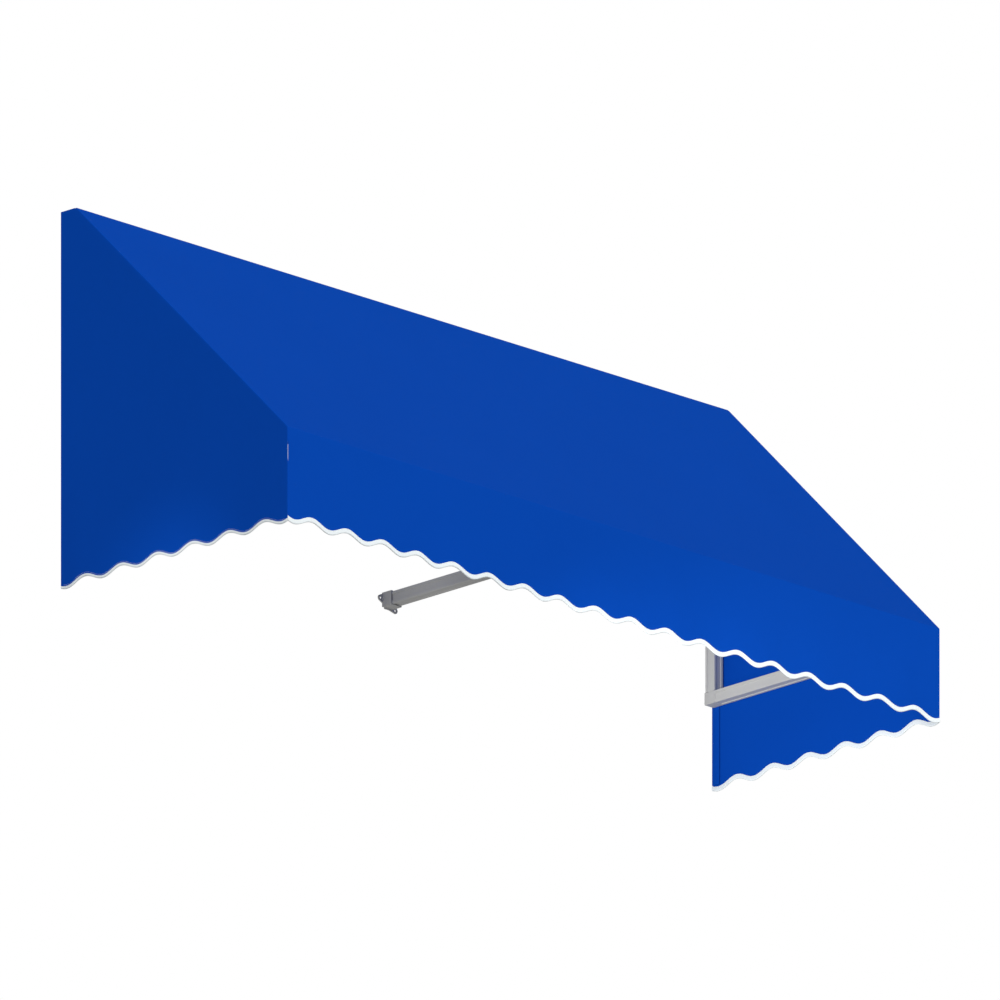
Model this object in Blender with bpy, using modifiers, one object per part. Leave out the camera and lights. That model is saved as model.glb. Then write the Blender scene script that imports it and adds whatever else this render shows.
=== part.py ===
"""A fixed window awning: a fabric cover over a frame of grooved aluminium tubes.

Metres, +Z up. X runs along the wall, the wall is the plane Y = 0 and the awning stands out towards -Y.
The origin is on the back face of the middle header bracket, half way down its wall leg.
Places are given as (x, out, down): out from the wall, and down from the top of the cover.
"""

import math

import bmesh
import bpy
from mathutils import Matrix, Vector

# Driving dimensions of the cover.
WIDTH = 1.8288
PROJECTION = 0.6283
FLAP = 0.0432
EDGE_DOWN = 0.7656
EDGE_GAP = 0.0008
CLOTH = 0.0010
BINDING_HEIGHT = 0.0097
BINDING_THICKNESS = 0.0026
WAVE_HEIGHT = 0.0072
WAVE_CORNER = 0.0170
FRONT_WAVES = 18
WING_WAVES = 6
WAVE_STEPS = 8

# Driving dimensions of the frame.
TUBE = 0.0254
TUBE_WALL = 0.0012
TUBE_CORNER = 0.0012
GROOVE_DEPTH = 0.0013
GROOVE_LAND = 0.00635
HEADER_DEPTH = 0.0381
HEADER_BACK = 0.0040
POST_BACK = 0.0070
INSET = 0.0023
SLOPE = math.radians(45)
SPIGOT_LENGTH = 0.0300
TONGUE = 0.0100
PLATE = 0.0030
SPIGOT_BURIED = 0.0020
RAFTER_TONGUE = 0.0360
BLOCK_EDGE = 0.0008
TOUCH = 0.0003

# Driving dimensions of brackets, corners, flanges and screws.
BRACKET_LEG = 0.0500
BRACKET_WIDTH = 0.0400
BRACKET_BEND = 0.0020
HEADER_BRACKET_X = 0.6000
HEADER_HOLES_APART = 0.0240
POST_BRACKET_DOWN = 0.3000
POST_BRACKET_HEIGHT = 0.0400
POST_BRACKET_WING = 0.0340
POST_HOLES_APART = 0.0220
REAR_CORNER_BACK = 0.0045
REAR_CORNER_FRONT = 0.0335
ARM_COLLAR_REACH = 0.0270
COLLAR_WALL = 0.0017
WALL_HOLE = 0.0028
FLANGE_HALF = 0.0290
FLANGE_HOLE = 0.0215
HEAD_EAR = 0.0125
FOOT_EAR = 0.0105
SCREW_LENGTH = 0.0120
COLLAR_SCREW_LENGTH = 0.0100
SHANK_RADIUS = 0.0021
SCREW_HEAD_RADIUS = 0.0042
SCREW_HEAD_HEIGHT = 0.0026
CUT_SPARE = 0.0300
CUT_BLOCK = 0.2000

# Positions worked out from them.
HALF = WIDTH / 2
FRAME_HALF = HALF - INSET
SIDE_X = FRAME_HALF - TUBE / 2
HEADER_FRONT = HEADER_BACK + HEADER_DEPTH
HEADER_TOP = INSET - TOUCH
HEADER_BOTTOM = HEADER_TOP + TUBE
POST_OUT = POST_BACK + TUBE / 2
BAR_OUT = PROJECTION - INSET - CLOTH - TUBE / 2
BAR_TOP = 0.5838
BAR_DOWN = BAR_TOP + TUBE / 2
FOLD_DOWN = PROJECTION - FLAP
TOP_Z = HEADER_BOTTOM + TOUCH + BRACKET_LEG / 2
SPIGOT = TUBE - 2 * (TUBE_WALL + GROOVE_DEPTH) - 0.0008
RAFTER_LINE = FLAP - CLOTH * math.sqrt(2) - 0.0008 - TUBE / math.sqrt(2)
ALUMINIUM = ((0.42, 0.42, 0.40, 1.0), 0.38, 1.0)
CAST = ((0.36, 0.36, 0.34, 1.0), 0.5, 1.0)
STEEL = ((0.5, 0.5, 0.5, 1.0), 0.3, 1.0)
BLUE_CLOTH = ((0.0015, 0.058, 0.407, 1.0), 0.9, 0.0)
WHITE_TAPE = ((0.87, 0.9, 0.92, 1.0), 0.8, 0.0)


def place(x, out, down):
    return Vector((x, -out, TOP_Z - down))


def frame_at(origin, x_axis, y_axis):
    """A matrix at origin whose local X and Y run along the two axes."""
    x_axis = Vector(x_axis).normalized()
    y_axis = Vector(y_axis).normalized()
    turn = Matrix((x_axis, y_axis, x_axis.cross(y_axis))).transposed().to_4x4()
    return Matrix.Translation(origin) @ turn


RIGHT = Vector((1, 0, 0))
OUTWARD = Vector((0, -1, 0))
UPWARD = Vector((0, 0, 1))
OFF_SLOPE = Vector((0, -math.sin(SLOPE), math.cos(SLOPE)))


def clear_scene():
    for obj in list(bpy.data.objects):
        bpy.data.objects.remove(obj, do_unlink=True)


def collection(name):
    made = bpy.data.collections.new(name)
    bpy.context.scene.collection.children.link(made)
    return made


def finish(name, look):
    """A Principled material of one colour, roughness and metallic value."""
    colour, roughness, metallic = look
    made = bpy.data.materials.new(name)
    made.use_nodes = True
    shader = made.node_tree.nodes["Principled BSDF"]
    shader.inputs["Base Color"].default_value = colour
    shader.inputs["Roughness"].default_value = roughness
    shader.inputs["Metallic"].default_value = metallic
    return made


def new_object(name, mesh, look):
    """A part in the awning's collection, or a cutter when it has no look."""
    obj = bpy.data.objects.new(name, mesh)
    if look is None:
        CUTTERS.objects.link(obj)
        obj.hide_render = True
        obj.display_type = "WIRE"
    else:
        PARTS.objects.link(obj)
        mesh.materials.append(finish(name, look))
    return obj


def block(name, centre, size, look=None, matrix=None):
    """A box, square to the object's own axes or turned by matrix."""
    mesh = bpy.data.meshes.new(name)
    bm = bmesh.new()
    bmesh.ops.create_cube(bm, size=1.0)
    bmesh.ops.scale(bm, vec=size, verts=bm.verts)
    bm.to_mesh(mesh)
    bm.free()
    obj = new_object(name, mesh, look)
    obj.matrix_world = matrix or Matrix.Translation(centre)
    return obj


def drill(name, centre, axis, radius, length):
    """A round cutter along axis."""
    mesh = bpy.data.meshes.new(name)
    bm = bmesh.new()
    bmesh.ops.create_cone(
        bm, cap_ends=True, segments=12, radius1=radius, radius2=radius, depth=length
    )
    bm.to_mesh(mesh)
    bm.free()
    obj = new_object(name, mesh, None)
    turn = UPWARD.rotation_difference(axis).to_matrix().to_4x4()
    obj.matrix_world = Matrix.Translation(centre) @ turn
    return obj


def combine(obj, operation, others):
    for other in others:
        step = obj.modifiers.new(f"{operation} {other.name}", "BOOLEAN")
        step.operation = operation
        step.object = other
    return obj


def outline(name, loops, thickness, matrix, look=None):
    """A flat outline with its holes, made thick along its own Z, as a closed mesh."""
    curve = bpy.data.curves.new(name, "CURVE")
    curve.dimensions = "2D"
    curve.fill_mode = "BOTH"
    curve.extrude = thickness / 2
    for loop in loops:
        spline = curve.splines.new("POLY")
        spline.points.add(len(loop) - 1)
        spline.use_cyclic_u = True
        for point, (x, y) in zip(spline.points, loop):
            point.co = (x, y, 0.0, 1.0)
    flat = bpy.data.objects.new(name, curve)
    PARTS.objects.link(flat)
    depsgraph = bpy.context.evaluated_depsgraph_get()
    mesh = bpy.data.meshes.new_from_object(flat.evaluated_get(depsgraph))
    bpy.data.objects.remove(flat)
    bpy.data.curves.remove(curve)
    bm = bmesh.new()
    bm.from_mesh(mesh)
    bmesh.ops.remove_doubles(bm, verts=bm.verts, dist=1e-6)
    bmesh.ops.recalc_face_normals(bm, faces=bm.faces)
    bm.to_mesh(mesh)
    bm.free()
    mesh.materials.clear()
    obj = new_object(name, mesh, look)
    obj.matrix_world = matrix
    return obj


def arc(centre_x, centre_y, radius, start, end, steps):
    """Points on an arc between two angles in degrees."""
    angles = [math.radians(start + (end - start) * i / steps) for i in range(steps + 1)]
    return [(centre_x + radius * math.cos(a), centre_y + radius * math.sin(a)) for a in angles]


def round_ring(half_x, half_y, corner, groove_land=None):
    """Outline of a rectangle with round corners and, past a land, a flat groove along each side."""
    points = []
    for quarter in range(4):
        along, away = (half_x, half_y) if quarter % 2 == 0 else (half_y, half_x)
        side = []
        if groove_land:
            groove = along - groove_land
            side += [(-groove, -away), (-groove, GROOVE_DEPTH - away)]
            side += [(groove, GROOVE_DEPTH - away), (groove, -away)]
        side += arc(along - corner, corner - away, corner, -90, 0, 2)
        turn = math.radians(90 * quarter)
        cos, sin = round(math.cos(turn)), round(math.sin(turn))
        points += [(x * cos - y * sin, x * sin + y * cos) for x, y in side]
    return points


def tube(name, start, end, side, depth=TUBE):
    """A hollow grooved tube from start to end, whose depth lies along side."""
    half_x, half_y = depth / 2, TUBE / 2
    wall = GROOVE_DEPTH + TUBE_WALL
    outer = round_ring(half_x, half_y, TUBE_CORNER, GROOVE_LAND)
    inner = round_ring(half_x - wall, half_y - wall, TUBE_CORNER / 2)
    axis = (end - start).normalized()
    matrix = frame_at((start + end) / 2, side, axis.cross(Vector(side)))
    return outline(name, [outer, inner], (end - start).length, matrix, ALUMINIUM)


def screw(name, seat, axis, length):
    """A pan-head screw whose head sits on seat and whose shank runs against axis."""
    profile = [
        (0.0, SCREW_HEAD_HEIGHT),
        (SCREW_HEAD_RADIUS * 0.6, SCREW_HEAD_HEIGHT * 0.88),
        (SCREW_HEAD_RADIUS, SCREW_HEAD_HEIGHT * 0.3),
        (SCREW_HEAD_RADIUS, 0.0),
        (SHANK_RADIUS, 0.0),
        (SHANK_RADIUS, SHANK_RADIUS - length),
        (0.0, -length),
    ]
    mesh = bpy.data.meshes.new(name)
    bm = bmesh.new()
    line = [bm.verts.new((x, 0.0, z)) for x, z in profile]
    for first, second in zip(line, line[1:]):
        bm.edges.new((first, second))
    bm.to_mesh(mesh)
    bm.free()
    obj = new_object(name, mesh, STEEL)
    turned = obj.modifiers.new("Turn", "SCREW")
    turned.steps = 12
    turned.render_steps = 12
    turned.use_merge_vertices = True
    turned.merge_threshold = 0.00001
    turn = UPWARD.rotation_difference(axis).to_matrix().to_4x4()
    obj.matrix_world = Matrix.Translation(seat + axis * TOUCH) @ turn
    return obj


def screw_hole(name, seat, axis, length):
    return drill(name, seat - axis * length / 2, axis, SHANK_RADIUS + TOUCH, length + 0.004)


def side_casting(name, centre, size, spigots):
    """A corner block with spigots; each spigot is (middle, size, matrix or None)."""
    obj = block(name, centre, size, CAST)
    edges = obj.modifiers.new("Edges", "BEVEL")
    edges.width = BLOCK_EDGE
    edges.segments = 1
    arms = [
        block(f"{name}_spigot_{i}", middle, dims, matrix=matrix)
        for i, (middle, dims, matrix) in enumerate(spigots)
    ]
    return combine(obj, "UNION", arms)


def tongue_on_slope(x, out, reach):
    """Middle, size and matrix of a flat tongue on the rafters' centre line."""
    middle = place(x, out, out - RAFTER_LINE)
    size = (SPIGOT, TONGUE, reach)
    return middle, size, frame_at(middle, RIGHT, OFF_SLOPE)


def flange(name, face, normal, across, ear_radius, tongue):
    """A plate with a screw ear at each end and a tongue into the tube that ends on it."""
    loop = arc(FLANGE_HALF - ear_radius, 0, ear_radius, -90, 90, 8)
    loop += arc(ear_radius - FLANGE_HALF, 0, ear_radius, 90, 270, 8)
    holes = [arc(side * FLANGE_HOLE, 0, SHANK_RADIUS + TOUCH, 0, 330, 11) for side in (-1, 1)]
    centre = face + normal * (TOUCH + PLATE / 2)
    matrix = frame_at(centre, across, normal.cross(Vector(across)))
    plate = outline(name, [loop] + holes, PLATE, matrix, CAST)
    middle, size, turn = tongue
    combine(plate, "UNION", [block(f"{name}_tongue", middle, size, matrix=turn)])
    front = face + normal * (TOUCH + PLATE)
    return [front + Vector(across) * side * FLANGE_HOLE for side in (-1, 1)]


def flange_screws(name, seats, normal, tube_object):
    """The two screws of a flange, and their holes in the tube behind it."""
    for side, seat in zip(("left", "right"), seats):
        screw(f"{name}_{side}", seat, normal, SCREW_LENGTH)
        hole = screw_hole(f"{name}_{side}_hole", seat, normal, SCREW_LENGTH)
        combine(tube_object, "DIFFERENCE", [hole])


def build_header():
    """The rail along the wall, its two corner castings and three brackets under it."""
    end = FRAME_HALF - TUBE - TOUCH
    middle_down = HEADER_TOP + TUBE / 2
    middle_out = HEADER_BACK + HEADER_DEPTH / 2
    rail = tube(
        "header_rail",
        place(-end, middle_out, middle_down),
        place(end, middle_out, middle_down),
        OUTWARD,
        HEADER_DEPTH,
    )
    for side, sign in (("left", -1), ("right", 1)):
        x = sign * SIDE_X
        inward = x - sign * (TUBE + SPIGOT_LENGTH) / 2
        deep = HEADER_DEPTH - TUBE + SPIGOT
        spigots = [
            (
                place(inward, middle_out, middle_down),
                (SPIGOT_LENGTH + SPIGOT_BURIED, deep, SPIGOT),
                None,
            ),
            (
                place(x, POST_OUT, HEADER_BOTTOM + SPIGOT_LENGTH / 2),
                (SPIGOT, SPIGOT, SPIGOT_LENGTH + SPIGOT_BURIED),
                None,
            ),
            tongue_on_slope(x, HEADER_FRONT + TONGUE, RAFTER_TONGUE),
        ]
        size = (TUBE, HEADER_DEPTH, TUBE)
        side_casting(f"{side}_header_corner", place(x, middle_out, middle_down), size, spigots)
    for side, x in (("left", -HEADER_BRACKET_X), ("centre", 0.0), ("right", HEADER_BRACKET_X)):
        header_bracket(side, x, rail)
    return rail


def header_bracket(side, x, rail):
    """An angle bracket: one leg under the rail, one down the wall."""
    reach = HEADER_FRONT - 0.004
    under = HEADER_BOTTOM + TOUCH
    loop = [(0, 0), (reach, 0), (reach, -PLATE)]
    loop += arc(PLATE + BRACKET_BEND, -PLATE - BRACKET_BEND, BRACKET_BEND, 90, 180, 3)
    loop += [(PLATE, -BRACKET_LEG), (0, -BRACKET_LEG)]
    matrix = frame_at(place(x, 0, under), OUTWARD, UPWARD)
    name = f"{side}_header_bracket"
    bracket = outline(name, [loop], BRACKET_WIDTH, matrix, ALUMINIUM)
    holes = [
        drill(
            f"{name}_wall_hole_{i}",
            place(x + offset, PLATE / 2, under + BRACKET_LEG * 0.72),
            OUTWARD,
            WALL_HOLE,
            4 * PLATE,
        )
        for i, offset in enumerate((-HEADER_HOLES_APART / 2, HEADER_HOLES_APART / 2))
    ]
    seat = place(x, HEADER_BACK + HEADER_DEPTH / 2, under + PLATE)
    hole = screw_hole(f"{name}_screw_hole", seat, -UPWARD, SCREW_LENGTH)
    combine(bracket, "DIFFERENCE", holes + [hole])
    combine(rail, "DIFFERENCE", [hole])
    screw(f"{name}_screw", seat, -UPWARD, SCREW_LENGTH)


def build_front_bar():
    """The bar in the fold of the cover and its two corner castings."""
    end = FRAME_HALF - TUBE - TOUCH
    bar = tube(
        "front_bar",
        place(-end, BAR_OUT, BAR_DOWN),
        place(end, BAR_OUT, BAR_DOWN),
        OUTWARD,
    )
    for side, sign in (("left", -1), ("right", 1)):
        x = sign * SIDE_X
        inward = x - sign * (TUBE + SPIGOT_LENGTH) / 2
        backward = BAR_OUT - (TUBE + SPIGOT_LENGTH) / 2
        spigots = [
            (
                place(inward, BAR_OUT, BAR_DOWN),
                (SPIGOT_LENGTH + SPIGOT_BURIED, SPIGOT, SPIGOT),
                None,
            ),
            (
                place(x, backward, BAR_DOWN),
                (SPIGOT, SPIGOT_LENGTH + SPIGOT_BURIED, SPIGOT),
                None,
            ),
            tongue_on_slope(x, BAR_TOP + RAFTER_LINE - TONGUE * 0.9, RAFTER_TONGUE),
        ]
        centre = place(x, BAR_OUT, BAR_DOWN)
        side_casting(f"{side}_front_corner", centre, (TUBE, TUBE, TUBE), spigots)
    return bar


def build_side(side, sign):
    """One side of the frame: post, arm, rafter, rear corner and the post's wall bracket."""
    x = sign * SIDE_X
    post = tube(
        f"{side}_post",
        place(x, POST_OUT, BAR_TOP - TOUCH),
        place(x, POST_OUT, HEADER_BOTTOM + TOUCH),
        RIGHT,
    )
    tube(
        f"{side}_arm",
        place(x, REAR_CORNER_FRONT + TOUCH, BAR_DOWN),
        place(x, BAR_OUT - TUBE / 2 - TOUCH, BAR_DOWN),
        RIGHT,
    )
    spigots = [
        (
            place(x, REAR_CORNER_FRONT + SPIGOT_LENGTH / 2, BAR_DOWN),
            (SPIGOT, SPIGOT_LENGTH + SPIGOT_BURIED, SPIGOT),
            None,
        ),
        (
            place(x, POST_OUT, BAR_TOP - SPIGOT_LENGTH / 2),
            (SPIGOT, SPIGOT, SPIGOT_LENGTH + SPIGOT_BURIED),
            None,
        ),
    ]
    depth = REAR_CORNER_FRONT - REAR_CORNER_BACK
    centre = place(x, REAR_CORNER_BACK + depth / 2, BAR_DOWN)
    side_casting(f"{side}_rear_corner", centre, (TUBE, depth, TUBE), spigots)
    rafter(f"{side}_rafter", x, HEADER_FRONT + TOUCH, BAR_TOP - TOUCH)
    post_bracket(side, sign, post)


def rafter(name, x, from_out, to_down):
    """A tube under the slope, cut upright at the header and level at the front bar."""
    start = place(x, from_out - CUT_SPARE, from_out - CUT_SPARE - RAFTER_LINE)
    end = place(x, to_down + RAFTER_LINE + CUT_SPARE, to_down + CUT_SPARE)
    obj = tube(name, start, end, RIGHT)
    size = (2 * TUBE, CUT_BLOCK, CUT_BLOCK)
    upper = block(
        f"{name}_upper_cut",
        place(x, from_out - CUT_BLOCK / 2, from_out - RAFTER_LINE),
        size,
    )
    lower = block(
        f"{name}_lower_cut",
        place(x, to_down + RAFTER_LINE, to_down + CUT_BLOCK / 2),
        size,
    )
    return combine(obj, "DIFFERENCE", [upper, lower])


def post_bracket(side, sign, post):
    """An angle bracket on the inner face of a post, screwed to it and to the wall."""
    face = sign * (SIDE_X - TUBE / 2) - sign * TOUCH
    reach = POST_BACK + TUBE - 0.003
    inner = -sign
    loop = [(0, 0), (POST_BRACKET_WING, 0), (POST_BRACKET_WING, PLATE)]
    loop += arc(PLATE + BRACKET_BEND, PLATE + BRACKET_BEND, BRACKET_BEND, 270, 180, 3)
    loop += [(PLATE, reach), (0, reach)]
    loop = [(inner * a, b) for a, b in loop]
    if inner < 0:
        loop.reverse()
    matrix = frame_at(place(face, 0, POST_BRACKET_DOWN), RIGHT, OUTWARD)
    name = f"{side}_post_bracket"
    bracket = outline(name, [loop], POST_BRACKET_HEIGHT, matrix, ALUMINIUM)
    hole_x = face + inner * POST_BRACKET_WING * 0.66
    wall_holes = [
        drill(
            f"{name}_wall_hole_{i}",
            place(hole_x, PLATE / 2, POST_BRACKET_DOWN + offset),
            OUTWARD,
            WALL_HOLE,
            4 * PLATE,
        )
        for i, offset in enumerate((-POST_HOLES_APART / 2, POST_HOLES_APART / 2))
    ]
    seat = place(face + inner * PLATE, POST_OUT, POST_BRACKET_DOWN)
    axis = RIGHT * inner
    hole = screw_hole(f"{name}_screw_hole", seat, axis, SCREW_LENGTH)
    combine(bracket, "DIFFERENCE", wall_holes + [hole])
    combine(post, "DIFFERENCE", [hole])
    screw(f"{name}_screw", seat, axis, SCREW_LENGTH)


def build_centre(rail, bar):
    """The middle arm and rafter, their three end flanges and the arm's wall bracket."""
    arm_start = PLATE + 2 * TOUCH
    arm_end = BAR_OUT - TUBE / 2 - PLATE - 2 * TOUCH
    arm = tube(
        "centre_arm",
        place(0, arm_start, BAR_DOWN),
        place(0, arm_end, BAR_DOWN),
        RIGHT,
    )
    plate_room = PLATE + 2 * TOUCH
    rafter("centre_rafter", 0.0, HEADER_FRONT + plate_room, BAR_TOP - plate_room)

    head_face = place(0, HEADER_FRONT, HEADER_TOP + TUBE / 2 + 0.003)
    reach = SPIGOT_LENGTH
    tongue_offset = (reach + TONGUE) / 2 * math.cos(SLOPE) + 2 * TOUCH
    head_tongue = tongue_on_slope(0.0, HEADER_FRONT + tongue_offset, reach)
    seats = flange("centre_rafter_head", head_face, OUTWARD, RIGHT, HEAD_EAR, head_tongue)
    flange_screws("centre_rafter_head_screw", seats, OUTWARD, rail)

    foot_face = place(0, BAR_OUT - 0.004, BAR_TOP)
    foot_tongue = tongue_on_slope(0.0, BAR_TOP + RAFTER_LINE - tongue_offset, reach)
    seats = flange("centre_rafter_foot", foot_face, UPWARD, RIGHT, FOOT_EAR, foot_tongue)
    flange_screws("centre_rafter_foot_screw", seats, UPWARD, bar)

    arm_face = place(0, BAR_OUT - TUBE / 2, BAR_DOWN)
    arm_tongue = (
        place(0, BAR_OUT - TUBE / 2 - PLATE - SPIGOT_LENGTH / 2, BAR_DOWN),
        (SPIGOT, SPIGOT_LENGTH + SPIGOT_BURIED, SPIGOT),
        None,
    )
    seats = flange("centre_arm_flange", arm_face, -OUTWARD, RIGHT, TUBE / 2, arm_tongue)
    flange_screws("centre_arm_flange_screw", seats, -OUTWARD, bar)
    arm_bracket(arm)


def arm_bracket(arm):
    """The wall bracket of the middle arm: an eared plate with a square collar round the tube."""
    ear = 0.0062
    lobe = 0.0070
    loop = arc(0.0217, -0.0148, ear, -90, 60, 6)
    loop += arc(-0.0010, 0.0125, lobe, 30, 150, 6)
    loop += arc(-0.0193, 0.0035, ear, 110, 230, 6)
    loop += [(-0.0078, -0.0095), (-0.0078, -0.0170), (0.0050, -0.0170)]
    matrix = frame_at(place(0, PLATE / 2, BAR_DOWN), RIGHT, UPWARD)
    holes_at = ((0.0217, -0.0148), (-0.0193, 0.0035))
    wall_holes = [arc(x, z, WALL_HOLE, 0, 330, 11) for x, z in holes_at]
    plate = outline("centre_arm_bracket", [loop] + wall_holes, PLATE, matrix, CAST)
    inside = TUBE / 2 + TOUCH
    outside = inside + COLLAR_WALL
    rings = [
        [(-half, -half), (half, -half), (half, half), (-half, half)] for half in (outside, inside)
    ]
    length = ARM_COLLAR_REACH - PLATE / 2
    collar_frame = frame_at(place(0, PLATE / 2 + length / 2, BAR_DOWN), RIGHT, UPWARD)
    collar = outline("centre_arm_bracket_collar", rings, length, collar_frame)
    combine(plate, "UNION", [collar])
    seat = place(0, ARM_COLLAR_REACH * 0.62, BAR_DOWN - outside)
    hole = screw_hole("centre_arm_bracket_screw_hole", seat, UPWARD, COLLAR_SCREW_LENGTH)
    combine(plate, "DIFFERENCE", [hole])
    combine(arm, "DIFFERENCE", [hole])
    screw("centre_arm_bracket_screw", seat, UPWARD, COLLAR_SCREW_LENGTH)


def wave(along, half_span, waves):
    """How far the lower edge hangs below its mean, at a distance from the edge's middle."""
    period = 2 * (half_span - WAVE_CORNER) / waves
    return WAVE_HEIGHT * math.cos(2 * math.pi * along / period)


def wave_points(start, end, half_span, waves):
    """Evenly spaced (along, drop) points of the wavy edge from start to end."""
    count = round(abs(end - start) / (2 * half_span) * waves * WAVE_STEPS)
    along = [start + (end - start) * i / count for i in range(count + 1)]
    return [(a, wave(a, half_span, waves)) for a in along]


def build_canopy_panel():
    """The cloth over the header, down the slope and down the front, in one piece."""
    rows = [(TOUCH, 0.0), (FLAP, 0.0), (PROJECTION, FOLD_DOWN), (PROJECTION, EDGE_DOWN)]
    half = HALF - CLOTH - TOUCH
    mesh = bpy.data.meshes.new("canopy_panel")
    bm = bmesh.new()
    columns = FRONT_WAVES * WAVE_STEPS
    bmesh.ops.create_grid(bm, x_segments=columns, y_segments=len(rows) - 1, size=1.0)
    for vert in bm.verts:
        row = round((vert.co.y + 1) / 2 * (len(rows) - 1))
        out, down = rows[row]
        x = vert.co.x * half
        if row == len(rows) - 1:
            down += wave(x, HALF, FRONT_WAVES)
        vert.co = place(x, out, down)
    bmesh.ops.reverse_faces(bm, faces=bm.faces)
    bm.to_mesh(mesh)
    bm.free()
    panel = new_object("canopy_panel", mesh, BLUE_CLOTH)
    thick = panel.modifiers.new("Cloth", "SOLIDIFY")
    thick.thickness = CLOTH
    thick.offset = -1.0
    thick.use_even_offset = True


def build_wing(side, sign):
    """The side panel: level at the top, sloping to the front, wavy below."""
    bottom = wave_points(PROJECTION / 2, -PROJECTION / 2 + TOUCH, PROJECTION / 2, WING_WAVES)
    loop = [(TOUCH, 0.0), (FLAP, 0.0), (PROJECTION, -FOLD_DOWN)]
    loop += [(PROJECTION / 2 + a, -EDGE_DOWN - drop) for a, drop in bottom]
    matrix = frame_at(place(sign * (HALF - CLOTH / 2), 0, 0), OUTWARD, UPWARD)
    outline(f"{side}_wing", [loop], CLOTH, matrix, BLUE_CLOTH)


def build_binding(name, start, end, half_span, waves, matrix):
    """The tape along a wavy edge, as a strip of the tape's folded height."""
    upper = EDGE_DOWN + EDGE_GAP
    lower = upper + BINDING_HEIGHT
    edge = wave_points(start, end, half_span, waves)
    loop = [(a, -upper - drop) for a, drop in edge]
    loop += [(a, -lower - drop) for a, drop in reversed(edge)]
    outline(name, [loop], BINDING_THICKNESS, matrix, WHITE_TAPE)


def build_cover():
    """Cloth panels and the tape on their lower edges."""
    build_canopy_panel()
    face = (BINDING_THICKNESS - CLOTH) / 2
    front = frame_at(place(0, PROJECTION - CLOTH / 2, 0), RIGHT, UPWARD)
    build_binding("front_binding", -HALF - face, HALF + face, HALF, FRONT_WAVES, front)
    half_span = PROJECTION / 2
    front_end = half_span - CLOTH - face - TOUCH
    for side, sign in (("left", -1), ("right", 1)):
        build_wing(side, sign)
        matrix = frame_at(
            place(sign * (HALF - CLOTH / 2), half_span, 0), OUTWARD, UPWARD
        )
        build_binding(
            f"{side}_binding", TOUCH - half_span, front_end, half_span, WING_WAVES, matrix
        )


clear_scene()
PARTS = collection("window_awning")
CUTTERS = collection("cutters")
header_rail = build_header()
front_bar = build_front_bar()
build_side("left", -1)
build_side("right", 1)
build_centre(header_rail, front_bar)
build_cover()
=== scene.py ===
"""The look of a fixed window awning: its cloth, tapes and finishes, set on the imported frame.

Metres. X runs along the wall, the wall is the plane Y = 0 and the awning stands out towards -Y.
Places on the cover are given as (x, out, down): out from the wall, and down from the cover's top.
"""

import math

import bmesh
import bpy
from mathutils import Euler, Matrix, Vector


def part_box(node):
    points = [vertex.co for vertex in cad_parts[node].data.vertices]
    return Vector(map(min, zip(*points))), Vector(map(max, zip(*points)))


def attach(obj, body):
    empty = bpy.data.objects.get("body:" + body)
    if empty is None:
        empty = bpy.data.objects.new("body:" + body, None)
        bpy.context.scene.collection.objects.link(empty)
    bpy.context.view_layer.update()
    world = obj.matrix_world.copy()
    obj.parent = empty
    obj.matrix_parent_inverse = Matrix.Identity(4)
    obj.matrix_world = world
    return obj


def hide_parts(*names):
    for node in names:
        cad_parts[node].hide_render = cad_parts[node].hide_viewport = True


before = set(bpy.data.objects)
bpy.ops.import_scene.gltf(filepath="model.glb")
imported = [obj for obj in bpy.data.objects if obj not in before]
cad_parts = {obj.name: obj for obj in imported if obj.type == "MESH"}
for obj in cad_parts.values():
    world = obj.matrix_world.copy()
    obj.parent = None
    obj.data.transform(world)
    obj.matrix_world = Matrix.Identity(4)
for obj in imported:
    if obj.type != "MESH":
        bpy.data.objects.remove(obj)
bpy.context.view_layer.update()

# The cover's outline, from the frame's own boxes.
WING_LOW, WING_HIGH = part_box("right_wing")
HALF = WING_HIGH.x
TOP = WING_HIGH.z
PROJECTION = -WING_LOW.y
FRAME_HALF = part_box("right_rafter")[1].x
TAPE_HALF_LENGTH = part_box("front_binding")[1].x

# The cover's section and its lower edge.
FLAP = 0.0432
FOLD_DOWN = PROJECTION - FLAP
EDGE_DOWN = 0.7656
EDGE_GAP = 0.0008
TAPE_TOP = EDGE_DOWN + EDGE_GAP
TAPE_HEIGHT = 0.0097
TAPE_HALF_THICK = 0.0013
TAPE_FOLD = 0.0018
TAPE_GAP = 0.0001
WAVE_HEIGHT = 0.0072
WAVE_CORNER = 0.0170
FRONT_WAVES = 18
WING_WAVES = 6
CLOTH = 0.0009
WALL_EDGE = 0.0006
HEADER_BEND = 0.0030
FOLD_BEND = 0.0040
CORNER_BEND = 0.0016
CORNER_GAP = 0.00004
INTO_TAPE = 0.0050
SLOPE = math.radians(45)
HALF_TURN = math.tan(SLOPE / 2)
TINY = 1e-9
BEND_CENTRES = (
    (FLAP - HEADER_BEND * HALF_TURN, HEADER_BEND, HEADER_BEND, 0.0),
    (PROJECTION - FOLD_BEND, FOLD_DOWN + FOLD_BEND * HALF_TURN, FOLD_BEND, SLOPE),
)

# How finely the cloth is divided, and how far it hangs off its planes.
CLOTH_STEPS = 14
TAPE_STEPS = 16
SLOPE_ROWS = 38
VALANCE_ROWS = 22
WING_ROWS = 44
SAG = 0.0022
SAG_FREE = 0.0200
VALANCE_SWAY = 0.0012
WING_SWAY = 0.0011
HELD_EDGE = 0.1000

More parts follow.
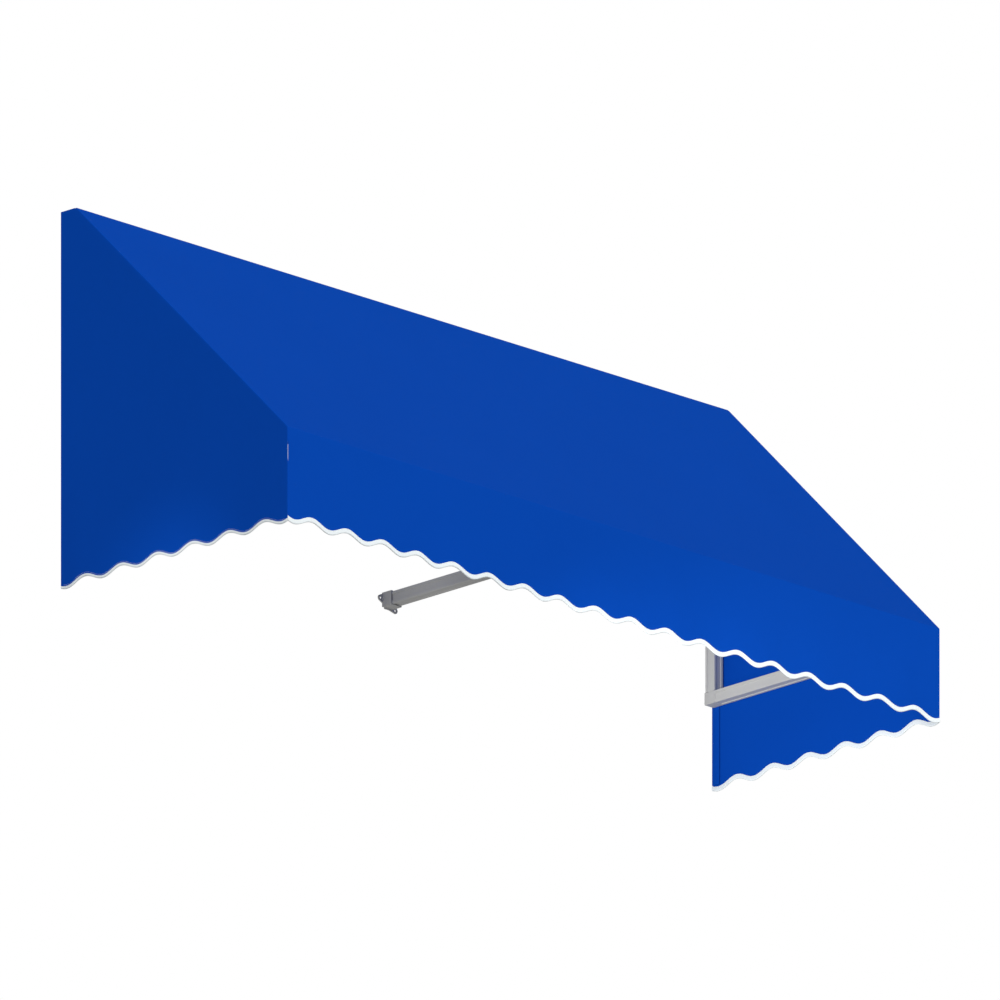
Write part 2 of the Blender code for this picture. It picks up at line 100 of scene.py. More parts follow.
# Seams, hems and thread.
SLIT_TOP = 0.6125
SLIT_END = 0.6575
SLIT_WIDTH = 0.0007
HEM_WIDTH = 0.0200
HEM_THICK = 0.0008
HEM_GAP = 0.00005
SEAM_START = 0.0026
SEAM_WIDTH = 0.0085
THREAD = 0.00022
STITCH_PITCH = 0.0040
STITCH_LENGTH = 0.0027


def place(x, out, down):
    return Vector((x, -out, TOP - down))


def wave(along, half_span, waves):
    """How far the lower edge hangs below its mean, at a distance from the edge's middle."""
    period = 2 * (half_span - WAVE_CORNER) / waves
    return WAVE_HEIGHT * math.cos(2 * math.pi * along / period)


def front_wave(x):
    return wave(x, HALF, FRONT_WAVES)


def wing_wave(out):
    return wave(out - PROJECTION / 2, PROJECTION / 2, WING_WAVES)


def ease(value):
    """A smooth step from 0 to 1."""
    value = min(max(value, 0.0), 1.0)
    return value * value * (3 - 2 * value)


def spread(start, end, steps):
    return [start + (end - start) * i / steps for i in range(steps + 1)]


# --- Finishes -----------------------------------------------------------------------------------


class Flow:
    """A node's output. Sums on it add Math nodes."""

    def __init__(self, look, socket):
        self.look = look
        self.socket = socket

    def maths(self, operation, first, second=None):
        values = {0: first}
        if second is not None:
            values[1] = second
        return self.look.node("ShaderNodeMath", {"operation": operation}, values)

    def __add__(self, other):
        return self.maths("ADD", self, other)

    def __radd__(self, other):
        return self.maths("ADD", other, self)

    def __sub__(self, other):
        return self.maths("SUBTRACT", self, other)

    def __rsub__(self, other):
        return self.maths("SUBTRACT", other, self)

    def __mul__(self, other):
        return self.maths("MULTIPLY", self, other)

    def __rmul__(self, other):
        return self.maths("MULTIPLY", other, self)

    def __abs__(self):
        return self.maths("ABSOLUTE", self)

    def __gt__(self, other):
        return self.maths("GREATER_THAN", self, other)

    def sine(self):
        return self.maths("SINE", self)


class Look:
    """One finish, built node by node around a Principled shader."""

    def __init__(self, name, roughness, metallic=0.0, **constants):
        self.material = bpy.data.materials.new(name)
        self.material.use_nodes = True
        self.tree = self.material.node_tree
        self.shader = self.tree.nodes["Principled BSDF"]
        self.shader.inputs["Roughness"].default_value = roughness
        self.shader.inputs["Metallic"].default_value = metallic
        for socket, value in constants.items():
            self.shader.inputs[socket.replace("_", " ")].default_value = value

    def node(self, kind, settings=None, values=None, output=0):
        """A node of a kind: its settings first, then its sockets' values or links."""
        made = self.tree.nodes.new(kind)
        for name, value in (settings or {}).items():
            if name == "stops":
                ramp = made.color_ramp.elements
                while len(ramp) < len(value):
                    ramp.new(1.0)
                for element, (position, colour) in zip(ramp, value):
                    element.position = position
                    element.color = colour
            else:
                setattr(made, name, value)
        for socket, value in (values or {}).items():
            if isinstance(value, Flow):
                self.tree.links.new(value.socket, made.inputs[socket])
            else:
                made.inputs[socket].default_value = value
        return Flow(self, made.outputs[output])

    def feed(self, socket, flow):
        self.tree.links.new(flow.socket, self.shader.inputs[socket])

    def position(self):
        return self.node("ShaderNodeTexCoord", output="Object")

    def cut(self):
        """Where a point lies on the flat cloth, in metres, along and across."""
        vector = self.node("ShaderNodeUVMap", {"uv_map": "cut"})
        return vector, self.part(vector, "X"), self.part(vector, "Y")

    def part(self, vector, axis):
        return self.node("ShaderNodeSeparateXYZ", values={0: vector}, output=axis)

    def stretched(self, vector, scale):
        values = {0: vector, 1: scale}
        return self.node("ShaderNodeVectorMath", {"operation": "MULTIPLY"}, values)

    def noise(self, vector, scale, detail=2.0):
        values = {"Vector": vector, "Scale": scale, "Detail": detail}
        return self.node("ShaderNodeTexNoise", values=values)

    def blend(self, share, first, second):
        """A colour between two, by share."""
        values = {0: share, 6: first, 7: second}
        return self.node("ShaderNodeMix", {"data_type": "RGBA"}, values, output=2)

    def ramp(self, value, *stops):
        return self.node("ShaderNodeValToRGB", {"stops": stops}, {0: value})

    def relief(self, height, depth, strength=1.0):
        values = {"Height": height, "Distance": depth, "Strength": strength}
        self.feed("Normal", self.node("ShaderNodeBump", values=values))


def plain_weave(look, along, across, yarn):
    """Height of a plain weave of yarns, 0 to 1."""
    warp = (along * (math.pi / yarn)).sine()
    weft = (across * (math.pi / yarn)).sine()
    over = warp * weft > 0.0
    return abs(warp) * over + abs(weft) * (1 - over)


def canvas_look(name, colour, shade, yarn, depth):
    """Woven canvas: yarn relief, slubs, and a colour that varies a little over the cloth."""
    look = Look(name, 0.9, Specular_IOR_Level=0.02)
    vector, along, across = look.cut()
    weave = plain_weave(look, along, across, yarn)
    slub_along = look.noise(look.stretched(vector, (40.0, 1400.0, 1.0)), 1.0)
    slub_across = look.noise(look.stretched(vector, (1400.0, 40.0, 1.0)), 1.0)
    cloudy = look.noise(vector, 3.5, 3.0)
    share = 0.45 * cloudy + 0.25 * slub_along + 0.2 * slub_across + 0.1 * weave
    deep = tuple(c * (1 - shade) for c in colour) + (1.0,)
    light = tuple(min(c * (1 + shade), 1.0) for c in colour) + (1.0,)
    spread_share = look.ramp(share, (0.25, (0, 0, 0, 1)), (0.75, (1, 1, 1, 1)))
    look.feed("Base Color", look.blend(spread_share, deep, light))
    look.feed("Roughness", 0.82 + 0.08 * slub_along + 0.06 * weave)
    look.relief(weave * 0.7 + slub_along * 0.5 + slub_across * 0.5, depth)
    return look.material


def thread_look(name, colour):
    """Sewing thread: twisted, a little glossier than the cloth."""
    look = Look(name, 0.6, Specular_IOR_Level=0.1)
    vector = look.position()
    twist = look.noise(vector, 2600.0, 1.0)
    dark = tuple(c * 0.8 for c in colour) + (1.0,)
    look.feed("Base Color", look.blend(twist, dark, colour + (1.0,)))
    look.feed("Roughness", 0.5 + 0.25 * twist)
    look.relief(twist, 0.0001, 0.6)
    return look.material


def mill_look(name, dark, light, roughness, along_axis):
    """Drawn aluminium: fine lines along the tube, faint handling marks."""
    look = Look(name, roughness, METAL_SHARE, Specular_IOR_Level=0.3)
    vector = look.position()
    squeeze = tuple(3.0 if axis == along_axis else 700.0 for axis in "XYZ")
    lines = look.noise(look.stretched(vector, squeeze), 1.0, 3.0)
    clouds = look.noise(vector, 22.0, 3.0)
    marks = look.noise(vector, 160.0, 4.0)
    share = 0.5 * clouds + 0.35 * lines + 0.15 * marks
    look.feed("Base Color", look.blend(share, dark + (1.0,), light + (1.0,)))
    look.feed("Roughness", roughness - 0.08 + 0.12 * lines + 0.08 * clouds)
    look.relief(lines, 0.00004, 0.5)
    return look.material


def cast_look(name, dark, light, roughness):
    """Tumbled casting: fine grain, rubbed brighter in places."""
    look = Look(name, roughness, METAL_SHARE, Specular_IOR_Level=0.3)
    vector = look.position()
    grain = look.noise(vector, 900.0, 4.0)
    clouds = look.noise(vector, 60.0, 3.0)
    share = 0.6 * clouds + 0.4 * grain
    look.feed("Base Color", look.blend(share, dark + (1.0,), light + (1.0,)))
    look.feed("Roughness", roughness - 0.05 + 0.14 * grain)
    look.relief(grain, 0.00012, 0.7)
    return look.material


def zinc_look(name, dark, light, roughness):
    """Zinc-plated steel: small crystal patches and faint clouding."""
    look = Look(name, roughness, 1.0)
    vector = look.position()
    values = {"Vector": vector, "Scale": 700.0}
    patches = look.node("ShaderNodeTexVoronoi", values=values)
    clouds = look.noise(vector, 250.0, 3.0)
    share = 0.5 * patches + 0.5 * clouds
    look.feed("Base Color", look.blend(share, dark + (1.0,), light + (1.0,)))
    look.feed("Roughness", roughness + 0.1 * clouds)
    look.relief(patches, 0.00005, 0.4)
    return look.material


METAL_SHARE = 0.1
BLUE = (0.0015, 0.058, 0.407)
WHITE = (0.83, 0.885, 0.91)
BLUE_CANVAS = canvas_look("blue_canvas", BLUE, 0.035, 0.0007, 0.00012)
WHITE_TAPE = canvas_look("white_tape", WHITE, 0.03, 0.0005, 0.0001)
BLUE_THREAD = thread_look("blue_thread", (0.003, 0.06, 0.40))
WHITE_THREAD = thread_look("white_thread", (0.86, 0.9, 0.92))
MILL = {
    axis: mill_look(f"mill_aluminium_{axis.lower()}", (0.49, 0.49, 0.48), (0.58, 0.58, 0.57), 0.6, axis)
    for axis in "XYZ"
}
CAST_METAL = cast_look("cast_aluminium", (0.47, 0.47, 0.46), (0.55, 0.55, 0.54), 0.64)
ZINC = zinc_look("zinc_steel", (0.52, 0.53, 0.54), (0.72, 0.73, 0.74), 0.3)


# --- Meshes -------------------------------------------------------------------------------------


def new_piece(name, mesh, material):
    piece = bpy.data.objects.new(name, mesh)
    bpy.context.scene.collection.objects.link(piece)
    mesh.materials.append(material)
    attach(piece, "root")
    return piece


def settle(piece, sharp=40.0):
    """Applies a piece's modifiers, and shades it smooth up to sharp degrees."""
    depsgraph = bpy.context.evaluated_depsgraph_get()
    mesh = bpy.data.meshes.new_from_object(piece.evaluated_get(depsgraph))
    piece.modifiers.clear()
    piece.data = mesh
    mesh.shade_smooth()
    mesh.set_sharp_from_angle(angle=math.radians(sharp))
    return piece


def woven_grid(name, rows, cuts, material, thickness=CLOTH):
    """A sheet from rows of points on its outer face and rows of their (along, across) on the flat cloth."""
    mesh = bpy.data.meshes.new(name)
    bm = bmesh.new()
    layer = bm.loops.layers.uv.new("cut")
    verts = [[bm.verts.new(point) for point in row] for row in rows]
    for i in range(len(rows) - 1):
        for j in range(len(rows[0]) - 1):
            corners = ((i, j), (i + 1, j), (i + 1, j + 1), (i, j + 1))
            face = bm.faces.new([verts[a][b] for a, b in corners])
            for loop, (a, b) in zip(face.loops, corners):
                loop[layer].uv = cuts[a][b]
    bm.to_mesh(mesh)
    bm.free()
    piece = new_piece(name, mesh, material)
    thick = piece.modifiers.new("Cloth", "SOLIDIFY")
    thick.thickness = thickness
    thick.offset = -1.0
    thick.use_even_offset = True
    return settle(piece)


def lofted(name, rings, material):
    """A closed strip through rings of points, with both ends closed."""
    mesh = bpy.data.meshes.new(name)
    bm = bmesh.new()
    layer = bm.loops.layers.uv.new("cut")
    verts = [[bm.verts.new(point) for point in ring] for ring in rings]
    count = len(rings[0])
    along = 0.0
    around = [0.0]
    for k in range(count):
        around.append(around[-1] + (rings[0][(k + 1) % count] - rings[0][k]).length)
    for i in range(len(rings) - 1):
        step = (rings[i + 1][0] - rings[i][0]).length
        for k in range(count):
            after = (k + 1) % count
            face = bm.faces.new((verts[i][k], verts[i][after], verts[i + 1][after], verts[i + 1][k]))
            spots = ((along, around[k]), (along, around[k + 1]))
            spots += ((along + step, around[k + 1]), (along + step, around[k]))
            for loop, spot in zip(face.loops, spots):
                loop[layer].uv = spot
        along += step
    for ring in (verts[0], verts[-1]):
        bm.faces.new(ring)
    bmesh.ops.recalc_face_normals(bm, faces=bm.faces)
    bm.to_mesh(mesh)
    bm.free()
    return settle(new_piece(name, mesh, material), 50.0)


def stitches(name, path, lift, material):
    """A row of stitches along a path of (point, outward normal), lift above it."""
    mesh = bpy.data.meshes.new(name)
    bm = bmesh.new()
    lengths = [0.0]
    for (before, _), (after, _) in zip(path, path[1:]):
        lengths.append(lengths[-1] + (after - before).length)
    count = int(lengths[-1] / STITCH_PITCH)
    segment = 0
    for i in range(count):
        at = (i + 0.5) * lengths[-1] / count
        while lengths[segment + 1] < at:
            segment += 1
        (before, normal), (after, _) = path[segment], path[segment + 1]
        share = (at - lengths[segment]) / (lengths[segment + 1] - lengths[segment])
        middle = before.lerp(after, share) + normal * lift
        ahead = (after - before).normalized()
        aside = ahead.cross(normal).normalized()
        rings = []
        for position, size in ((-1.0, 0.35), (-0.78, 0.9), (0.0, 1.15), (0.78, 0.9), (1.0, 0.35)):
            centre = middle + ahead * position * STITCH_LENGTH / 2
            centre -= normal * THREAD * 0.7 * position * position
            ring = []
            for k in range(6):
                turn = math.tau * k / 6
                offset = aside * math.cos(turn) + normal * math.sin(turn)
                ring.append(bm.verts.new(centre + offset * THREAD * size))
            rings.append(ring)
        for first, second in zip(rings, rings[1:]):
            for k in range(6):
                after_k = (k + 1) % 6
                bm.faces.new((first[k], first[after_k], second[after_k], second[k]))
        bm.faces.new(rings[0])
        bm.faces.new(rings[-1])
    bmesh.ops.recalc_face_normals(bm, faces=bm.faces)
    bm.to_mesh(mesh)
    bm.free()
    return settle(new_piece(name, mesh, material), 80.0)


# --- The cover ----------------------------------------------------------------------------------


def bend(index, steps):
    """Stations round one of the cover's two bends, as (out, down, outward turn)."""
    centre_out, centre_down, radius, first = BEND_CENTRES[index]
    turns = spread(first, first + SLOPE, steps)
    return [(centre_out + radius * math.sin(t), centre_down - radius * math.cos(t), t) for t in turns]


def section():
    """Stations down the cover's outer face, as (out, down, outward turn, share of the valance)."""
    over_header = bend(0, 4)
    over_bar = bend(1, 5)
    stations = [(out, 0.0, 0.0) for out in spread(WALL_EDGE, over_header[0][0], 4)[:-1]]
    stations += over_header
    start, end = over_header[-1], over_bar[0]
    stations += [
        (start[0] + (end[0] - start[0]) * t, start[1] + (end[1] - start[1]) * t, SLOPE)
        for t in spread(0.0, 1.0, SLOPE_ROWS)[1:-1]
    ]
    stations += over_bar
    stations = [(out, down, turn, 0.0) for out, down, turn in stations]
    bottom = stations[-1][1]
    shares = spread(0.0, 1.0, VALANCE_ROWS)[1:]
    stations += [(PROJECTION, bottom, math.pi / 2, share) for share in shares]
    return stations


def slit(side, down):
    """Half the width of the gap in a front corner's seam."""
    opening = 0.0
    if side < 0:
        middle = (SLIT_TOP + SLIT_END) / 2
        reach = (SLIT_END - SLIT_TOP) / 2
        opening = ease((1.0 - abs(down - middle) / reach) * 3.0) * SLIT_WIDTH / 2
    return CORNER_GAP / 2 + opening


def curl(turn, side, down):
    """Offsets (along the sheet's own face, behind it) at a turn round the cover's corner."""
    turn *= 1 - math.asin(slit(side, down) / CORNER_BEND) / SLOPE
    return CORNER_BEND * (1 - math.sin(turn)), CORNER_BEND * (1 - math.cos(turn))


CURL_TURNS = [SLOPE, SLOPE * 0.72, SLOPE * 0.45, SLOPE * 0.2]


def sag(x, down):
    """How far the cloth hangs in between the rafters, on the slope."""
    free_half = FRAME_HALF - SAG_FREE
    bay = math.sin(math.pi * x / free_half) ** 2 if abs(x) <= free_half else 0.0
    share = (down - SAG_FREE) / (FOLD_DOWN - 2 * SAG_FREE)
    return SAG * bay * math.sin(math.pi * min(max(share, 0.0), 1.0)) ** 0.8


def front_sway(x, down):
    """How far the valance hangs off its plane, more so towards its lower edge."""
    hang = ease((down - FOLD_DOWN - 0.035) / 0.14)
    held = ease((HALF - abs(x)) / HELD_EDGE)
    ripple = 0.6 * math.sin(x * 17.0 + 0.7) + 0.4 * math.sin(x * 31.0 + 2.0)
    return VALANCE_SWAY * hang * held * ripple


def wing_sway(out, down):
    """How far a wing hangs outside its plane, more so towards its lower edge."""
    hang = ease((down - 0.45) / 0.30)
    held = ease((PROJECTION - out) / HELD_EDGE) * ease(2 * out / HELD_EDGE)
    return WING_SWAY * hang * held * (0.5 + 0.5 * math.sin(out * 19.0 + 1.2))


def cover_columns():
    """Columns across the cover, as (x, side, turn round the corner or None)."""
    inner = HALF - CORNER_BEND
    columns = [(None, -1, turn) for turn in CURL_TURNS]
    across = spread(-inner, inner, FRONT_WAVES * CLOTH_STEPS)
    columns += [(x, 1 if x > 0 else -1, None) for x in across]
    return columns + [(None, 1, turn) for turn in reversed(CURL_TURNS)]


def build_cover():
    """The cloth over the header, down the slope and down the front, in one piece."""
    rows, cuts = [], []
    length = 0.0
    previous = None
    for out, down, turn, share in section():
        row, cut = [], []
        if previous and share == 0.0:
            length += math.hypot(out - previous[0], down - previous[1])
        previous = (out, down)
        normal = Vector((0, -math.sin(turn), math.cos(turn)))
        for x, side, corner in cover_columns():
            behind = 0.0
            low = down
            if share > 0:
                edge = EDGE_DOWN + INTO_TAPE + front_wave(x if x is not None else side * HALF)
                low = down + (edge - down) * share
            if corner is not None:
                along, behind = curl(corner, side, low)
                x = side * (HALF - along)
            elif share > 0:
                behind = -front_sway(x, low)
            else:
                behind = sag(x, low)
            row.append(place(x, out, low) - normal * behind)
            cut.append((x, length + low - down))
        rows.append(row)
        cuts.append(cut)
    cover = woven_grid("cover_cloth", rows, cuts, BLUE_CANVAS)
    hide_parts("canopy_panel")
    return cover, length + EDGE_DOWN - previous[1]


def roof(out, inset):
    """How far down the cover's section lies at out, inset from its outer face."""
    if out <= BEND_CENTRES[0][0]:
        return inset
    for centre_out, centre_down, radius, first in BEND_CENTRES:
        inner = radius - inset
        reach = (out - centre_out) / inner
        if math.sin(first) <= reach <= math.sin(first + SLOPE) + TINY:
            return centre_down - inner * math.sqrt(max(1 - reach * reach, 0.0))
    return out - FLAP + inset * math.sqrt(2)


def inset_at(out, down):
    """How far a point lies inside the cover's section."""
    depth = min(down, (down - out + FLAP) / math.sqrt(2), PROJECTION - out)
    for centre_out, centre_down, radius, first in BEND_CENTRES:
        across, above = out - centre_out, centre_down - down
        if first <= math.atan2(across, above) <= first + SLOPE and math.hypot(across, above) < radius:
            depth = radius - math.hypot(across, above)
    return depth


def wing_bulge(depth):
    """How far a wing's outer face has curled in, at a depth inside the cover's section."""
    if depth >= CORNER_BEND:
        return 0.0
    rise = 1 - depth / CORNER_BEND
    return CORNER_BEND * (1 - math.sqrt(max(1 - rise * rise, 0.0)))


def build_wing(side, sign):
    """A side panel: level at the top, sloping to the front, wavy below."""
    depths = [curl(turn, 0, 0.0)[0] for turn in CURL_TURNS] + [CORNER_BEND]
    flat_part = spread(WALL_EDGE, PROJECTION - CORNER_BEND, WING_WAVES * CLOTH_STEPS)
    outs = [(out, None) for out in flat_part]
    outs += [(PROJECTION - curl(turn, 0, 0.0)[0], turn) for turn in reversed(CURL_TURNS)]
    rows = [[] for _ in range(len(depths) + WING_ROWS)]
    cuts = [[] for _ in rows]
    for out, turn in outs:
        top = roof(out, depths[0])
        steep = math.sqrt(2) if out > FLAP else 1.0
        downs = [top + (depth - depths[0]) * steep for depth in depths]
        bottom = EDGE_DOWN + INTO_TAPE + wing_wave(out)
        downs += spread(downs[-1], bottom, WING_ROWS)[1:]
        for row, cut, down in zip(rows, cuts, downs):
            here = out if turn is None else PROJECTION - curl(turn, sign, down)[0]
            depth = inset_at(here, down)
            x = HALF - wing_bulge(depth) + wing_sway(here, down)
            row.append(place(sign * x, here, down))
            cut.append((out, down))
    if sign < 0:
        rows = [list(row) for row in zip(*rows)]
        cuts = [list(row) for row in zip(*cuts)]
    wing = woven_grid(f"{side}_wing_cloth", rows, cuts, BLUE_CANVAS)
    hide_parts(f"{side}_wing")
    return wing


def tape_profile():
    """The folded tape's section, as (offset from the cloth's middle, down from the tape's top)."""
    thick, low = TAPE_HALF_THICK, TAPE_HEIGHT
    inside = CLOTH / 2 + TAPE_GAP
    rise = [(thick - 0.0004, 0.0), (thick - 0.00012, 0.0001), (thick, 0.0005), (thick, low * 0.5)]
    turns = spread(0.0, math.pi, 10)
    fold = [(TAPE_FOLD * math.cos(t), low - TAPE_FOLD + TAPE_FOLD * math.sin(t)) for t in turns]
    outer = rise + fold + [(-x, d) for x, d in reversed(rise)]
    inner = [(inside, 0.0002), (inside, low - 0.0030), (0.0, low - 0.0022)]
    return outer + [(-x, d) for x, d in inner[:2]] + [inner[2]] + list(reversed(inner[:2]))


def build_tape(name, points, node):
    """A tape folded over a wavy edge. points are (cloth's middle at the tape's top, outward normal)."""
    profile = tape_profile()
    down = Vector((0, 0, -1))
    rings = [[point + normal * off + down * low for off, low in profile] for point, normal in points]
    tape = lofted(name, rings, WHITE_TAPE)
    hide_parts(node)
    rows = []
    for face, sign in (("outer", 1), ("inner", -1)):
        path = [(point + down * 0.0017, normal * sign) for point, normal in points[1:-1]]
        row = stitches(f"{name}_{face}_stitches", path, TAPE_HALF_THICK + THREAD * 0.3, WHITE_THREAD)
        rows.append(row)
    return tape, rows


def front_edge():
    """Points along the front's tape."""
    outward = Vector((0, -1, 0))
    points = []
    for x in spread(-TAPE_HALF_LENGTH, TAPE_HALF_LENGTH, FRONT_WAVES * TAPE_STEPS):
        sway = front_sway(x, EDGE_DOWN)
        out = PROJECTION - CLOTH / 2 + sway
        points.append((place(x, out, TAPE_TOP + front_wave(x)), outward))
    return points


def wing_edge(sign):
    """Points along a wing's tape."""
    outward = Vector((sign, 0, 0))
    end = PROJECTION - CLOTH / 2 - TAPE_HALF_THICK - 0.0004
    points = []
    for out in spread(WALL_EDGE, end, WING_WAVES * TAPE_STEPS):
        x = sign * (HALF - CLOTH / 2 + wing_sway(out, EDGE_DOWN))
        points.append((place(x, out, TAPE_TOP + wing_wave(out)), outward))
    return points


def strip_ring(corner, wide, thick):
    """Ring of a flat strip from one corner, rounded along its edges."""
    soft = 0.12
    across = [(0.0, soft), (0.01, 0.0), (0.99, 0.0), (1.0, soft)]
    across += [(a, 1 - b) for a, b in reversed(across)]
    return [corner + wide * a + thick * b for a, b in across]


def build_flap_hem():
    """The turned hem at the back of the cover, under the flap."""
    inner = CLOTH + HEM_GAP
    half = HALF - 2 * inner - HEM_THICK
    wide = Vector((0, -HEM_WIDTH, 0))
    thick = Vector((0, 0, -HEM_THICK))
    rings = [strip_ring(place(x, WALL_EDGE, inner), wide, thick) for x in spread(-half, half, 120)]
    hem = lofted("flap_hem", rings, BLUE_CANVAS)
    up = Vector((0, 0, 1))
    path = [(place(x, WALL_EDGE + HEM_WIDTH - 0.002, 0.0), up) for x in spread(-half, half, 60)]
    row = stitches("flap_hem_stitches", path, THREAD * 0.4, BLUE_THREAD)
    return [hem, row]


def build_wing_hem(side, sign):
    """The turned hem on a wing's wall edge."""
    inner = CLOTH + HEM_GAP
    wide = Vector((0, -HEM_WIDTH, 0))
    thick = Vector((-sign * HEM_THICK, 0, 0))
    bottom = TAPE_TOP - 0.001 + min(wing_wave(WALL_EDGE), wing_wave(HEM_WIDTH))
    downs = spread(CLOTH + HEM_THICK + 3 * HEM_GAP, bottom, 60)
    rings = []
    for down in downs:
        x = HALF - inner + wing_sway(WALL_EDGE, down)
        rings.append(strip_ring(place(sign * x, WALL_EDGE, down), wide, thick))
    hem = lofted(f"{side}_wing_hem", rings, BLUE_CANVAS)
    line = WALL_EDGE + HEM_WIDTH - 0.002
    outward = Vector((sign, 0, 0))
    path = [(place(sign * (HALF + wing_sway(line, down)), line, down), outward) for down in downs]
    rows = [stitches(f"{side}_wing_hem_stitches", path, THREAD * 0.4, BLUE_THREAD)]
    return [hem] + [row for row in rows]


def build_seam(side, sign):
    """The seam allowance of the hip and front corner, laid flat on the wing's inner face."""
    inner = CLOTH + HEM_GAP
    thick = Vector((-sign * HEM_THICK, 0, 0))
    outer_line = [(WALL_EDGE + HEM_WIDTH + 0.001, 0.0, 0.0, 1.0)]
    mitre = 1 / math.cos(SLOPE / 2)
    outer_line.append((FLAP, 0.0, SLOPE / 2, mitre))
    for share in spread(0.0, 1.0, 30)[1:-1]:
        out = FLAP + (PROJECTION - FLAP) * share
        outer_line.append((out, out - FLAP, SLOPE, 1.0))
    outer_line.append((PROJECTION, FOLD_DOWN, SLOPE * 1.5, mitre))
    end = TAPE_TOP - 0.002
    outer_line += [(PROJECTION, down, math.pi / 2, 1.0) for down in spread(FOLD_DOWN + 0.012, end, 8)]
    rings, path = [], []
    for out, down, turn, stretch in outer_line:
        inward = Vector((0, math.sin(turn), -math.cos(turn))) * stretch
        corner = place(sign * (HALF - inner), out, down) + inward * SEAM_START
        rings.append(strip_ring(corner, inward * SEAM_WIDTH, thick))
        line = place(sign * HALF, out, down) + inward * (SEAM_START + SEAM_WIDTH * 0.7)
        path.append((line, Vector((sign, 0, 0))))
    seam = lofted(f"{side}_corner_seam", rings, BLUE_CANVAS)
    row = stitches(f"{side}_corner_stitches", path, THREAD * 0.4, BLUE_THREAD)
    return [seam, row]


cover, cover_length = build_cover()
front_tape, front_rows = build_tape("front_tape", front_edge(), "front_binding")
build_flap_hem()
for side, sign in (("left", -1), ("right", 1)):
    wing = build_wing(side, sign)
    tape, rows = build_tape(f"{side}_wing_tape", wing_edge(sign), f"{side}_binding")
    build_wing_hem(side, sign)
    build_seam(side, sign)


# --- The frame's finishes -----------------------------------------------------------------------


def longest_axis(node):
    low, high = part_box(node)
    sizes = high - low
    return "XYZ"[max(range(3), key=lambda i: sizes[i])]


CAST_PARTS = ("corner", "flange", "arm_bracket", "rafter_head", "rafter_foot")
SOFT_PARTS = ("wing", "binding", "canopy_panel")
for name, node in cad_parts.items():
    if name.endswith(SOFT_PARTS):
        continue
    if "_screw" in name:
        finish = ZINC
    elif any(word in name for word in CAST_PARTS):
        finish = CAST_METAL
    else:
        finish = MILL[longest_axis(name)]
    node.data.materials.clear()
    node.data.materials.append(finish)
    weld = node.modifiers.new("Join", "WELD")
    weld.merge_threshold = 0.00001
    edges = node.modifiers.new("Edges", "BEVEL")
    edges.width = 0.0002
    edges.segments = 2
    edges.limit_method = "ANGLE"
    edges.angle_limit = math.radians(40)


# --- Floor, camera and light --------------------------------------------------------------------


def build_floor():
    """A plain pale floor far below the awning."""
    look = Look("pale_floor", 0.9)
    speckle = look.noise(look.position(), 30.0, 4.0)
    look.feed("Base Color", look.blend(speckle, (0.55, 0.55, 0.545, 1), (0.6, 0.6, 0.595, 1)))
    mesh = bpy.data.meshes.new("floor")
    bm = bmesh.new()
    bmesh.ops.create_grid(bm, x_segments=8, y_segments=8, size=60.0)
    bm.to_mesh(mesh)
    bm.free()
    mesh.materials.append(look.material)
    floor = bpy.data.objects.new("floor", mesh)
    floor.location = (0.0, 0.0, -3.0)
    bpy.context.scene.collection.objects.link(floor)


def build_camera():
    """A parallel view from in front, left of and below the awning."""
    data = bpy.data.cameras.new("view")
    data.type = "ORTHO"
    data.ortho_scale = 1.9708
    camera = bpy.data.objects.new("view", data)
    bpy.context.scene.collection.objects.link(camera)
    right = Vector((0.70203, -0.71214, 0.0))
    up = Vector((-0.21814, -0.21505, 0.95192))
    back = Vector((-0.6779, -0.6683, -0.3064))
    camera.rotation_euler = Euler((math.radians(90 + 17.84), 0.0, math.radians(-45.41)))
    camera.location = place(-HALF, 0.0, 0.0) + right * 0.8652 - up * 0.5670 + back * 2.75
    bpy.context.scene.camera = camera


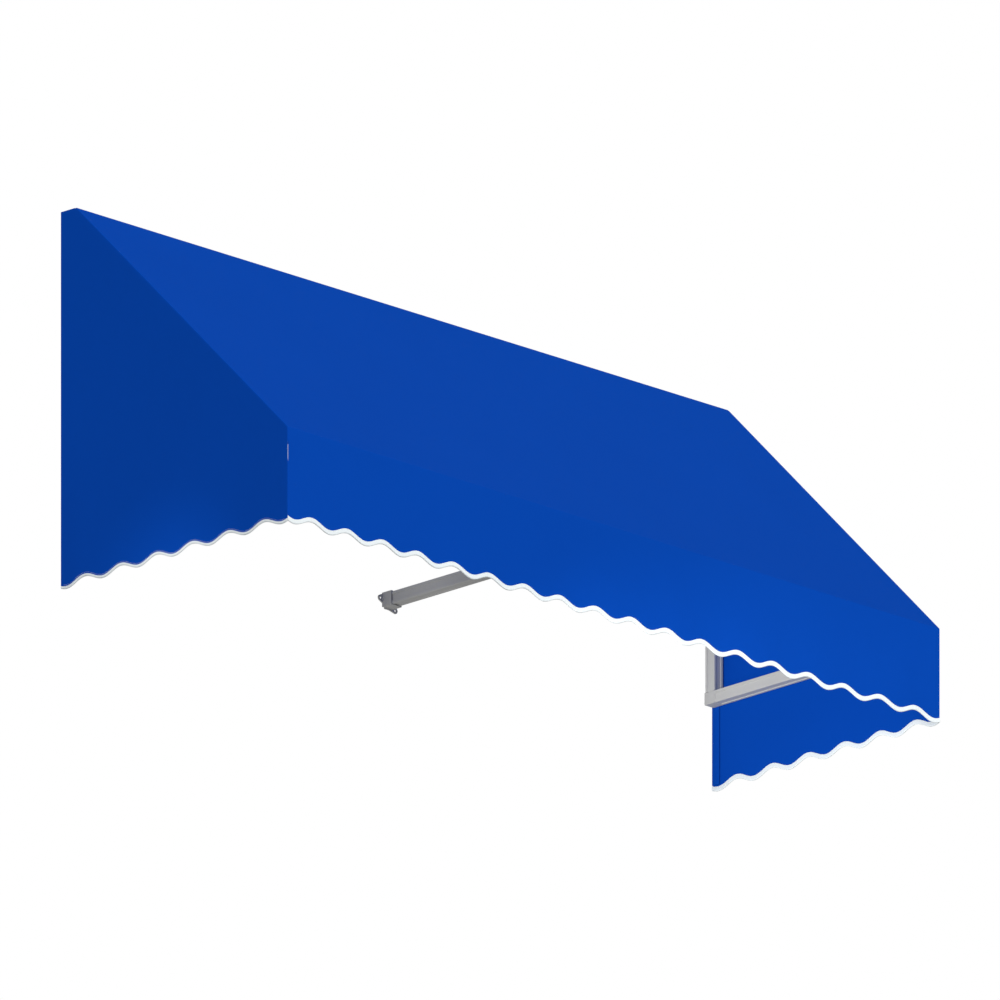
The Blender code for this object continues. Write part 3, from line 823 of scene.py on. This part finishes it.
def sun(name, towards_light, strength, softness):
    data = bpy.data.lights.new(name, "SUN")
    data.energy = strength
    data.angle = math.radians(softness)
    lamp = bpy.data.objects.new(name, data)
    lamp.rotation_euler = Vector(towards_light).to_track_quat("Z", "Y").to_euler()
    bpy.context.scene.collection.objects.link(lamp)


def spot(name, at, aim, strength, spread_angle):
    data = bpy.data.lights.new(name, "SPOT")
    data.energy = strength
    data.spot_size = math.radians(spread_angle)
    data.spot_blend = 0.5
    data.shadow_soft_size = 0.15
    lamp = bpy.data.objects.new(name, data)
    lamp.location = at
    lamp.rotation_euler = (Vector(aim) - lamp.location).to_track_quat("-Z", "Y").to_euler()
    lamp.visible_camera = False
    bpy.context.scene.collection.objects.link(lamp)


def build_lights():
    """Key light from the front left, a weak one from behind, and two that reach in under the cover."""
    sun("key", (-0.548, -1.0, 0.414), 2.48, 12.0)
    sun("rim", (0.6, 0.7, 0.3), 0.5, 20.0)
    spot("wing_light", (-1.5, -1.0, -1.5), (0.91, -0.30, -0.65), 235.0, 19.0)
    spot("arm_light", (-2.0, -0.5, -1.1), (0.0, -0.14, -0.56), 38.0, 10.0)


def build_surroundings():
    """White to the eye, softer for lighting."""
    world = bpy.data.worlds.new("studio")
    bpy.context.scene.world = world
    world.use_nodes = True
    tree = world.node_tree
    background = tree.nodes["Background"]
    background.inputs["Color"].default_value = (0.35, 0.35, 0.35, 1.0)
    seen = tree.nodes.new("ShaderNodeBackground")
    seen.inputs["Color"].default_value = (1.0, 1.0, 1.0, 1.0)
    path = tree.nodes.new("ShaderNodeLightPath")
    mix = tree.nodes.new("ShaderNodeMixShader")
    tree.links.new(path.outputs["Is Camera Ray"], mix.inputs[0])
    tree.links.new(background.outputs[0], mix.inputs[1])
    tree.links.new(seen.outputs[0], mix.inputs[2])
    tree.links.new(mix.outputs[0], tree.nodes["World Output"].inputs["Surface"])
    bpy.context.scene.view_settings.view_transform = "Standard"


build_floor()
build_camera()
build_lights()
build_surroundings()

bpy.context.view_layer.update()
